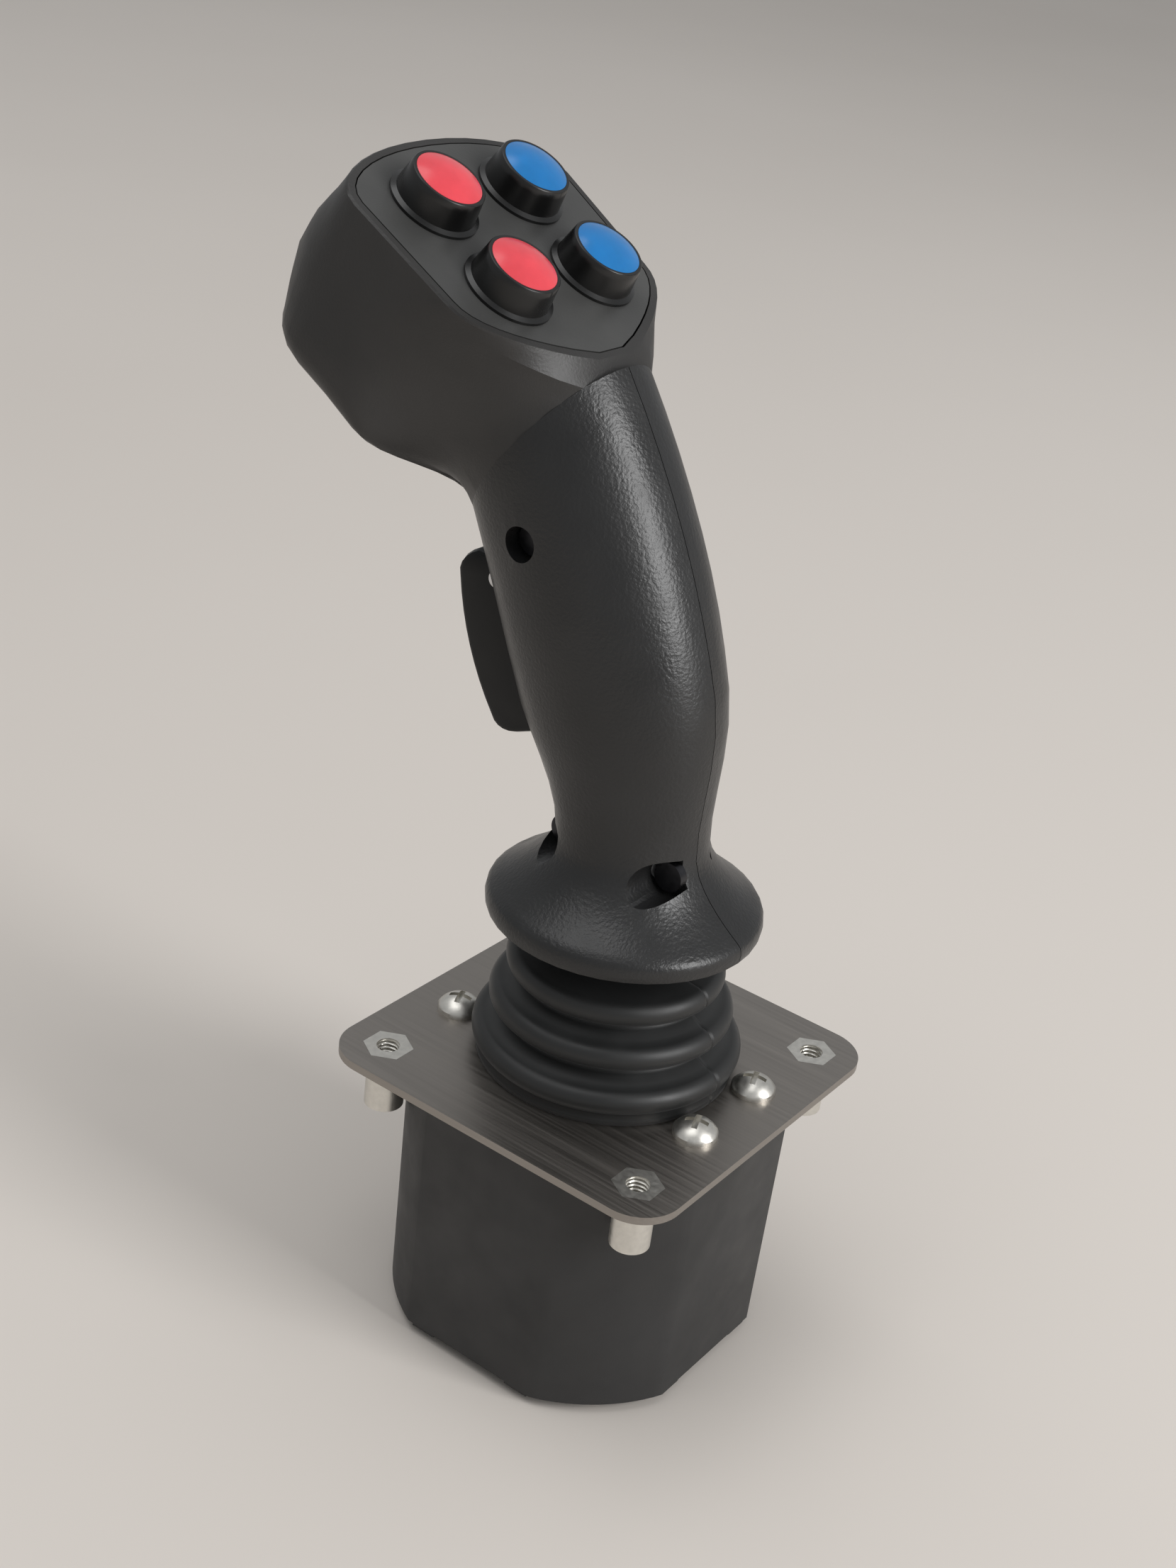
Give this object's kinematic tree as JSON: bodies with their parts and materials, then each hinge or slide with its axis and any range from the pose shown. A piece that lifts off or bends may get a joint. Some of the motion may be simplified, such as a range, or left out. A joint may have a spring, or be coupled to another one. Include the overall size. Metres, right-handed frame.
{
  "type": "industrial joystick",
  "caption": "Two-axis hand-grip joystick with push buttons on a tilted head, a finger trigger, a ribbed boot, a square mounting plate and a moulded base with the sprung gimbal.",
  "frame": {"origin": "middle of the mounting plate's top face, on the axis of the stick's shaft", "axes": "+Z along the shaft at rest, out of the panel towards the grip; +Y away from the operator, the side the head leans to and the trigger faces; +X to the operator's right"},
  "size_m": [0.072, 0.1062, 0.205],
  "materials": {
    "housing_plastic": "fine moulded texture",
    "zinc_steel": "bright zinc plate",
    "plate_metal": "dull grey-brown chromate",
    "rubber": "matte",
    "machined_steel": "ground",
    "cast_metal": "cast and machined",
    "brass": "plain",
    "spring_steel": "drawn wire",
    "board": "solder resist",
    "chip": "moulded",
    "connector_plastic": "moulded",
    "inner_plastic": "moulded",
    "magnet": "nickel plate",
    "black_steel": "black oxide",
    "grip_plastic": "fine spark-eroded texture",
    "face_plastic": "fine texture",
    "insert_metal": "machined",
    "bezel_plastic": "polished",
    "red_cap": "semi-gloss",
    "blue_cap": "semi-gloss",
    "trigger_plastic": "polished",
    "plunger_plastic": "moulded"
  },
  "bodies": {
    "base": {"base_housing": "housing_plastic", "bottom_cover": "housing_plastic", "cover_screws": "zinc_steel", "mounting_plate": "plate_metal", "clinch_standoffs": "zinc_steel", "plate_screws": "zinc_steel", "boot": "rubber", "boot_clamp_ring": "cast_metal", "gimbal_frame": "cast_metal", "frame_screws": "zinc_steel", "frame_bushes": "brass", "spring_seat": "cast_metal", "sensor_board": "board", "hall_sensors": "chip", "board_screws": "zinc_steel", "connector_header": "connector_plastic", "centering_spring": "spring_steel"},
    "gimbal": {"gimbal_ring": "cast_metal", "ring_pins": "machined_steel", "ring_bushes": "brass"},
    "stick": {"pivot_block": "cast_metal", "cross_axle": "machined_steel", "stick_shaft": "machined_steel", "spring_collar": "cast_metal", "magnet_holder": "inner_plastic", "sensor_magnet": "magnet", "grip_adapter": "cast_metal", "adapter_screws": "black_steel", "grip_left": "grip_plastic", "grip_right": "grip_plastic", "grip_screws": "black_steel", "neck_insert": "insert_metal", "head_housing": "grip_plastic", "head_screws": "black_steel", "face_plate": "face_plastic", "button_nuts": "insert_metal", "trigger_pin": "machined_steel", "trigger_spring": "spring_steel", "trigger_switch": "chip", "switch_dowels": "machined_steel", "red_front_bezel": "bezel_plastic", "red_front_switch": "chip", "red_front_spring": "spring_steel", "red_rear_bezel": "bezel_plastic", "red_rear_switch": "chip", "red_rear_spring": "spring_steel", "blue_front_bezel": "bezel_plastic", "blue_front_switch": "chip", "blue_front_spring": "spring_steel", "blue_rear_bezel": "bezel_plastic", "blue_rear_switch": "chip", "blue_rear_spring": "spring_steel"},
    "red_front_button": {"red_front_cap": "red_cap"},
    "red_rear_button": {"red_rear_cap": "red_cap"},
    "blue_front_button": {"blue_front_cap": "blue_cap"},
    "blue_rear_button": {"blue_rear_cap": "blue_cap"},
    "finger_trigger": {"trigger": "trigger_plastic"},
    "switch_plunger": {"trigger_plunger": "plunger_plastic"}
  },
  "joints": [
    {"name": "stick_fore_aft", "type": "hinge", "parent": "base", "child": "gimbal", "pos_m": [0, 0, -0.016], "axis": [1, 0, 0], "range_deg": [-18, 18], "stiffness_Nm_per_rad": 2.5, "deforming": ["boot", "centering_spring"]},
    {"name": "stick_left_right", "type": "hinge", "parent": "gimbal", "child": "stick", "pos_m": [0, 0, -0.016], "axis": [0, 1, 0], "range_deg": [-18, 18], "stiffness_Nm_per_rad": 2.5, "deforming": ["boot", "centering_spring"]},
    {"name": "red_front_press", "type": "slide", "parent": "stick", "child": "red_front_button", "axis": [0, 0.5075, -0.8616], "range_m": [0, 0.0015], "stiffness_N_per_m": 200, "springref_m": -0.003, "deforming": ["red_front_spring"]},
    {"name": "red_rear_press", "type": "slide", "parent": "stick", "child": "red_rear_button", "axis": [0, 0.5075, -0.8616], "range_m": [0, 0.0015], "stiffness_N_per_m": 200, "springref_m": -0.003, "deforming": ["red_rear_spring"]},
    {"name": "blue_front_press", "type": "slide", "parent": "stick", "child": "blue_front_button", "axis": [0, 0.5075, -0.8616], "range_m": [0, 0.0015], "stiffness_N_per_m": 200, "springref_m": -0.003, "deforming": ["blue_front_spring"]},
    {"name": "blue_rear_press", "type": "slide", "parent": "stick", "child": "blue_rear_button", "axis": [0, 0.5075, -0.8616], "range_m": [0, 0.0015], "stiffness_N_per_m": 200, "springref_m": -0.003, "deforming": ["blue_rear_spring"]},
    {"name": "trigger_pull", "type": "hinge", "parent": "stick", "child": "finger_trigger", "pos_m": [0, 0.02848, 0.08394], "axis": [-1, 0, 0], "range_deg": [0, 6], "stiffness_Nm_per_rad": 0.3, "springref_deg": -5.73, "deforming": ["trigger_spring"]},
    {"name": "switch_plunger_slide", "type": "slide", "parent": "stick", "child": "switch_plunger", "axis": [0, -0.9212, 0.3891], "range_m": [0, 0.0017]}
  ],
  "couplings": [
    {"joint": "switch_plunger_slide", "follows": "trigger_pull", "m_per_rad": 0.0162}
  ]
}
